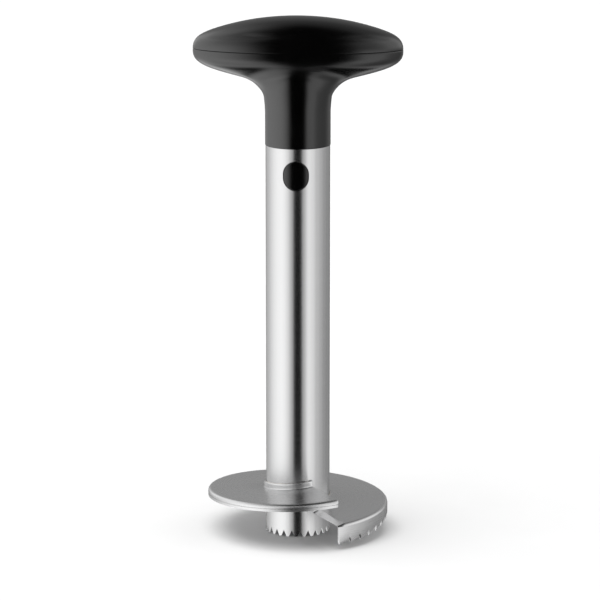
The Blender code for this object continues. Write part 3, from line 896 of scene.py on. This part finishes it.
def grip_ring(z, level=0.0, inset=0.0):
    """A ring of the lower half: lens and neck blended into each other. level moves the wall inwards."""
    ring = []
    evenness = min(max(-z / 20.0, 0.0), 1.0)
    power = 2.0 + (OVALITY - 2.0) * max(1.0 + z / 12.0, 0.0)
    clamped = [max(min(v, 0.0), TAIL) for v in (z, z + 0.2, z - 0.2)]
    a0, a1, a2 = [max(width_at(LENS_LINE, v), 0.5) for v in clamped]
    b0, b1, b2 = [lens_depth(v) for v in clamped]
    run = clamped[1] - clamped[2]
    for n in range(SEGMENTS):
        t = math.tau * n / SEGMENTS
        x = math.cos(t)
        y = math.sin(t) * (GRIP_B / GRIP_A + (1 - GRIP_B / GRIP_A) * evenness)
        phi = math.atan2(y, x)
        if z < -30.0:
            r = NECK_R + level
        else:
            lens = oval_radius(a0, b0, phi, power)
            if z < TAIL:
                lens += (z - TAIL) * 3.0
            neck = NECK_R + FLARE * smooth((z + 29.5) / 12.0) * math.cos(phi) ** 2
            if run > 0.01:
                slope = (oval_radius(a1, b1, phi, power) - oval_radius(a2, b2, phi, power)) / run
            else:
                slope = 0.4
            tilt = 1.0 / math.hypot(1.0, slope)
            blend = FILLET_FRONT + (FILLET_SIDE - FILLET_FRONT) * math.cos(phi) ** 2
            low, high = 0.0, 80.0
            for _ in range(44):
                r = (low + high) / 2
                d1, d2 = (r - lens) * tilt, r - neck
                overlap = max(blend - abs(d1 - d2), 0.0) / blend
                if min(d1, d2) - overlap * overlap * blend / 4 < level:
                    low = r
                else:
                    high = r
        r -= inset
        ring.append((r * math.cos(phi), r * math.sin(phi), SEAM_Z + z))
    return ring


def oval_ring(a, b, z):
    ring = []
    for n in range(SEGMENTS):
        t = math.tau * n / SEGMENTS
        phi = math.atan2(math.sin(t) * GRIP_B / GRIP_A, math.cos(t))
        r = oval_radius(a, b, phi, OVALITY)
        ring.append((r * math.cos(phi), r * math.sin(phi), SEAM_Z + z))
    return ring


def round_ring(r, z):
    return [(r * math.cos(math.tau * n / SEGMENTS), r * math.sin(math.tau * n / SEGMENTS), z)
            for n in range(SEGMENTS)]


def build_grip_body():
    shell = Shell()
    rings = []
    half_gap = SEAM_GAP / 2
    # the bore above the floor, from its middle up to the seam
    inner = [-19.2, -18.8, -18.0, -16.5, -15.0, -13.0, -11.0, -9.0, -7.0, -5.0, -3.0, -1.4]
    rings += [round_ring(5.0, SEAM_Z - 19.2)]
    rings += [grip_ring(z, level=-2.0) for z in inner]
    rings += [oval_ring(GRIP_A - 2.0, GRIP_B - 2.0, -half_gap)]
    # rounded edge at the seam
    for inset, drop in rounding(SEAM_EDGE, 4):
        rings.append(oval_ring(GRIP_A - inset, GRIP_B - inset, -half_gap - drop))
    z = -half_gap - SEAM_EDGE - 0.25
    while z > -31.0:
        rings.append(grip_ring(z))
        z -= 0.28 + 0.34 * smooth(-z / 6.0)
    foot = NECK_FOOT - SEAM_Z
    for z in (-32.5, -34.5, -37.0, -40.0, -43.0, foot + 0.9, foot + 0.5):
        rings.append(grip_ring(z))
    for inset, drop in reversed(rounding(0.22, 4)):
        rings.append(round_ring(NECK_R - inset, NECK_FOOT + drop))
    rings += [round_ring(13.35, NECK_FOOT), round_ring(13.2, NECK_FOOT + 0.15), round_ring(13.2, 196.0),
              round_ring(13.2, 207.3), round_ring(6.0, 207.3)]
    shell.loft(rings, first_tip=(0, 0, SEAM_Z - 19.2), last_tip=(0, 0, 207.3))
    return make_piece("grip_body_skin", shell, [grip_black], sharp=50.0)


def build_grip_cap():
    shell = Shell()
    rings = []
    half_gap = SEAM_GAP / 2
    for t in (0.97, 0.9, 0.8, 0.7, 0.6, 0.5, 0.4, 0.3, 0.2, 0.1, 0.0):
        w, h = bezier(CAP_LINE, t)
        rings.append(oval_ring(w * 44.9 / GRIP_A, w * 16.2 / GRIP_A, h * 13.3 / GRIP_RISE))
    # the tongue that drops inside the lower half
    rings += [oval_ring(44.9, 16.2, -1.4), oval_ring(45.1, 16.4, -1.6), oval_ring(45.7, 17.0, -1.6),
              oval_ring(45.9, 17.2, -1.4), oval_ring(45.9, 17.2, half_gap)]
    for inset, rise in rounding(SEAM_EDGE, 4):
        rings.append(oval_ring(GRIP_A - inset, GRIP_B - inset, half_gap + rise))
    steps = 64
    start = 0.0
    while bezier(CAP_LINE, start)[1] < half_gap + SEAM_EDGE + 0.25:
        start += 0.0005
    for n in range(steps):
        t = start + (0.992 - start) * (n / (steps - 1))
        w, h = bezier(CAP_LINE, t)
        rings.append(oval_ring(w, w * GRIP_B / GRIP_A, h))
    shell.loft(rings, first_tip=(0, 0, SEAM_Z + 13.3), last_tip=(0, 0, SEAM_Z + GRIP_RISE))
    return make_piece("grip_cap_skin", shell, [grip_black], sharp=50.0)


grip_body_skin = build_grip_body()
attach(grip_body_skin, "handle")
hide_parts("handle_body")

grip_cap_skin = build_grip_cap()
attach(grip_cap_skin, "handle")
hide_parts("handle_cap")


# --------------------------------------------------- screws, from the CAD

for n in range(1, 5):
    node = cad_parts["insert_screw_%d" % n]
    for place in node.material_slots:
        place.material = screw_zinc


# ---------------------------------------------------------- floor and light

def build_floor():
    bm = bmesh.new()
    bmesh.ops.create_grid(bm, x_segments=24, y_segments=24, size=9.0)
    bmesh.ops.translate(bm, vec=(0, 0, -0.0001), verts=bm.verts)
    mesh = bpy.data.meshes.new("floor")
    bm.to_mesh(mesh)
    bm.free()
    obj = bpy.data.objects.new("floor", mesh)
    scene.collection.objects.link(obj)
    mat, g, shader, where = new_material("pale_floor")
    paper = g.noise(where, 30.0, 3.0, 0.5)
    set_inputs(g, shader, {"Base Color": g.mix_colour(paper, grey(0.80), grey(0.83)), "Roughness": 0.9,
                           "Specular IOR Level": 0.0})
    mesh.materials.append(mat)
    obj.visible_glossy = False
    obj.visible_shadow = False
    return obj


build_floor()

CAMERA_AZIMUTH = 3.7
CAMERA_ELEVATION = 12.0
CAMERA_DISTANCE = 1.40
FRAME_HEIGHT = 0.281      # metres across the picture at the tube


def curve_of(g, value, stops, low, high, top=2.0):
    """A smooth curve through (position, strength) pairs, read at a value between low and high."""
    share = g.remap(value, low, high, 0.0, 1.0)
    node = g.node("ShaderNodeFloatCurve", {"Value": share})
    line = node.mapping.curves[0]
    places = [((p - low) / (high - low), strength / top) for p, strength in stops]
    line.points[0].location = places[0]
    line.points[1].location = places[-1]
    for place in places[1:-1]:
        line.points.new(*place)
    for p in line.points:
        p.handle_type = "AUTO_CLAMPED"
    node.mapping.update()
    return g.math("MULTIPLY", node.outputs[0], top)


# strength of the studio round the object: (degrees from the camera's direction, strength),
# seen level or upwards, and seen downwards
STUDIO_UPPER = [
    (-180, 0.27), (-168, 0.36), (-158, 0.70), (-140, 1.37), (-125, 1.54), (-110, 1.51), (-95, 1.43), (-80, 1.27), (-66, 0.96),
    (-54, 0.75), (-44, 0.49), (-35, 0.24), (-27, 0.0), (16, 0.0), (23, 0.07), (31, 0.30), (40, 0.43), (50, 0.58),
    (62, 0.83), (76, 1.03), (92, 1.05), (112, 1.14), (135, 0.70), (158, 0.31), (180, 0.27)]
STUDIO_LOWER = [
    (-180, 0.14), (-158, 0.50), (-140, 0.74), (-125, 0.95), (-110, 1.26), (-95, 1.45), (-80, 1.54), (-66, 1.52),
    (-54, 1.35), (-44, 1.06), (-35, 0.64), (-27, 0.20), (-20, 0.0), (18, 0.0), (23, 0.10), (31, 0.56), (40, 0.90),
    (50, 0.90), (62, 0.69), (76, 0.47), (92, 0.38), (112, 0.30), (135, 0.36), (158, 0.22), (180, 0.14)]
# share of it left at an elevation in degrees
STUDIO_RISE = [(-90, 0.55), (-75, 0.62), (-62, 0.74), (-52, 0.86), (-40, 1.0), (38, 1.0), (48, 0.74),
               (56, 0.61), (63, 0.40), (69, 0.13), (74, 0.02), (80, 0.0), (90, 0.0)]
# and the share near the top, by the angle to the left or right: dark from front to back overhead
STUDIO_TOP = [(-90, 0.42), (-24, 0.42), (-19, 0.42), (-17.5, 0.36), (-14.7, 0.15), (-12, 0.0), (-9, 0.0),
              (9, 0.0), (12, 0.0), (14.4, 0.09), (19, 0.27), (24, 0.30), (90, 0.30)]
# how far the left light's lower part reaches up, by the direction: 1 where it fades out slowly
STUDIO_FADE = [(-180, 0.0), (-150, 0.0), (-110, 1.0), (-8, 1.0), (8, 0.0), (180, 0.0)]
# and how far the right light's inner edge leans away from the middle, higher up
STUDIO_LEAN = [(-180, 0.0), (0, 0.0), (15, 0.3), (32, 0.3), (60, 0.0), (180, 0.0)]


def build_world():
    """Two big soft lights left and right, weaker on the right, and nothing overhead or in front."""
    world = bpy.data.worlds.new("studio")
    scene.world = world
    world.use_nodes = True
    tree = world.node_tree
    tree.nodes.clear()
    g = Graph(tree)
    direction = g.node("ShaderNodeTexCoord").outputs["Generated"]
    turned = g.node("ShaderNodeVectorRotate", {"Vector": direction, "Angle": -math.radians(CAMERA_AZIMUTH)},
                    rotation_type="Z_AXIS").outputs[0]
    axes = g.node("ShaderNodeSeparateXYZ", {0: turned})
    x, y, z = axes.outputs
    azimuth = g.math("MULTIPLY", g.math("ARCTAN2", x, g.math("MULTIPLY", y, -1.0)), 180 / math.pi)
    elevation = g.math("MULTIPLY", g.math("ARCSINE", z), 180 / math.pi)
    lean = g.math("MULTIPLY", curve_of(g, azimuth, STUDIO_LEAN, -180, 180),
                  g.remap(elevation, 28.0, 56.0, 0.0, 1.0, "SMOOTHSTEP"))
    upper = curve_of(g, g.math("MULTIPLY", azimuth, g.math("SUBTRACT", 1.0, lean)), STUDIO_UPPER, -180, 180)
    # towards the floor the dark middle runs on under the object, as a stripe from front to back
    down = g.remap(elevation, -20.0, -55.0, 0.0, 1.0, "SMOOTHSTEP")
    ahead = g.math("SQRT", g.math("ADD", g.math("MULTIPLY", y, y), g.math("MULTIPLY", g.math("MULTIPLY", z, z), 0.05)))
    folded = g.math("MULTIPLY", g.math("ARCTAN2", x, ahead), 1.25 * 180 / math.pi)
    beside = g.math("ADD", g.math("MULTIPLY", folded, down),
                    g.math("MULTIPLY", azimuth, g.math("SUBTRACT", 1.0, down)))
    lower = curve_of(g, beside, STUDIO_LOWER, -180, 180)
    fade = curve_of(g, azimuth, STUDIO_FADE, -180, 180)
    side = g.math("ADD", g.math("MULTIPLY", g.remap(elevation, -8.0, 40.0, 0.0, 1.0, "SMOOTHSTEP"), fade),
                  g.math("MULTIPLY", g.remap(elevation, -8.0, 8.0, 0.0, 1.0, "SMOOTHSTEP"),
                         g.math("SUBTRACT", 1.0, fade)))
    level = g.math("ADD", g.math("MULTIPLY", upper, side),
                   g.math("MULTIPLY", lower, g.math("SUBTRACT", 1.0, side)))
    sideways = g.math("MULTIPLY", g.math("ARCSINE", x), 180 / math.pi)
    top = g.math("MULTIPLY", curve_of(g, sideways, STUDIO_TOP, -90, 90),
                 g.remap(elevation, 60.0, 72.0, 0.0, 1.0, "SMOOTHSTEP"))
    share = g.math("MAXIMUM", curve_of(g, elevation, STUDIO_RISE, -90, 90), top)
    studio = g.math("MULTIPLY", level, share)
    seen = g.node("ShaderNodeLightPath").outputs["Is Camera Ray"]
    strength = g.node("ShaderNodeMix", data_type="FLOAT")
    tree.links.new(seen, strength.inputs[0])
    tree.links.new(studio, strength.inputs[2])
    strength.inputs[3].default_value = 1.0
    backdrop = g.node("ShaderNodeBackground", {"Color": (1, 1, 1, 1), "Strength": strength.outputs[0]})
    out = g.node("ShaderNodeOutputWorld")
    tree.links.new(backdrop.outputs[0], out.inputs[0])


build_world()


def top_light():
    data = bpy.data.lights.new("overhead_softbox", "SUN")
    data.energy = 2.55
    data.angle = math.radians(55)
    obj = bpy.data.objects.new("overhead_softbox", data)
    obj.rotation_euler = (math.radians(14), math.radians(-10), 0)
    obj.visible_glossy = False
    scene.collection.objects.link(obj)


top_light()


# soft panels that only the steel sees: (from, to) in degrees from the camera's direction, brightness.
# Two more, low over the floor in front and behind, light the top of the blade for any other view.
STEEL_PANELS = [(-14, -38, 0.22), (-17, -52, 0.155), (-17, -66, 0.13), (-17, -82, 0.12), (-17, -98, 0.10),
                (14, 46, 0.17), (15, 64, 0.165), (15, 82, 0.12), (15, 100, 0.12), (15, 120, 0.12), (75, 165, 0.06)]


def panel(name, first, last, low, high, brightness, receivers, away=1.5):
    middle = math.radians((first + last) / 2 + CAMERA_AZIMUTH)
    data = bpy.data.lights.new(name, "AREA")
    data.shape = "RECTANGLE"
    data.size = 2 * away * math.tan(math.radians(abs(last - first) / 2))
    data.size_y = high - low
    data.energy = brightness * math.pi * data.size * data.size_y
    obj = bpy.data.objects.new(name, data)
    outward = Vector((math.sin(middle), -math.cos(middle), 0.0))
    obj.location = outward * away + Vector((0, 0, (low + high) / 2))
    obj.rotation_mode = "QUATERNION"
    obj.rotation_quaternion = (-outward).to_track_quat("-Z", "Y")
    obj.visible_camera = False
    scene.collection.objects.link(obj)
    obj.light_linking.receiver_collection = receivers


def steel_panels():
    steels = bpy.data.collections.new("steel_pieces")
    blades = bpy.data.collections.new("blade_pieces")
    for piece in (tube_skin, blade_skin, blade_weld):
        steels.objects.link(piece)
    blades.objects.link(blade_skin)
    for n, (first, last, brightness) in enumerate(STEEL_PANELS):
        panel("steel_panel_%d" % (n + 1), first, last, -1.48, 1.72, brightness, steels)
    panel("blade_panel_front", -35, 35, 0.10, 1.10, 0.30, blades)
    panel("blade_panel_back", 150, 210, 0.10, 1.10, 0.16, blades)


steel_panels()

scene.view_settings.view_transform = "Standard"
scene.view_settings.look = "None"


def build_camera():
    data = bpy.data.cameras.new("camera")
    obj = bpy.data.objects.new("camera", data)
    scene.collection.objects.link(obj)
    a, e = math.radians(CAMERA_AZIMUTH), math.radians(CAMERA_ELEVATION)
    back = Vector((math.sin(a) * math.cos(e), -math.cos(a) * math.cos(e), math.sin(e)))
    right = Vector((math.cos(a), math.sin(a), 0.0))
    target = Vector((0, 0, 0.11086)) + right * 0.0010
    obj.location = target + back * CAMERA_DISTANCE
    obj.rotation_mode = "QUATERNION"
    obj.rotation_quaternion = (-back).to_track_quat("-Z", "Y")
    data.sensor_width = 36.0
    data.lens = 18.0 * CAMERA_DISTANCE / (FRAME_HEIGHT / 2)
    data.clip_start, data.clip_end = 0.05, 60.0
    scene.camera = obj


build_camera()
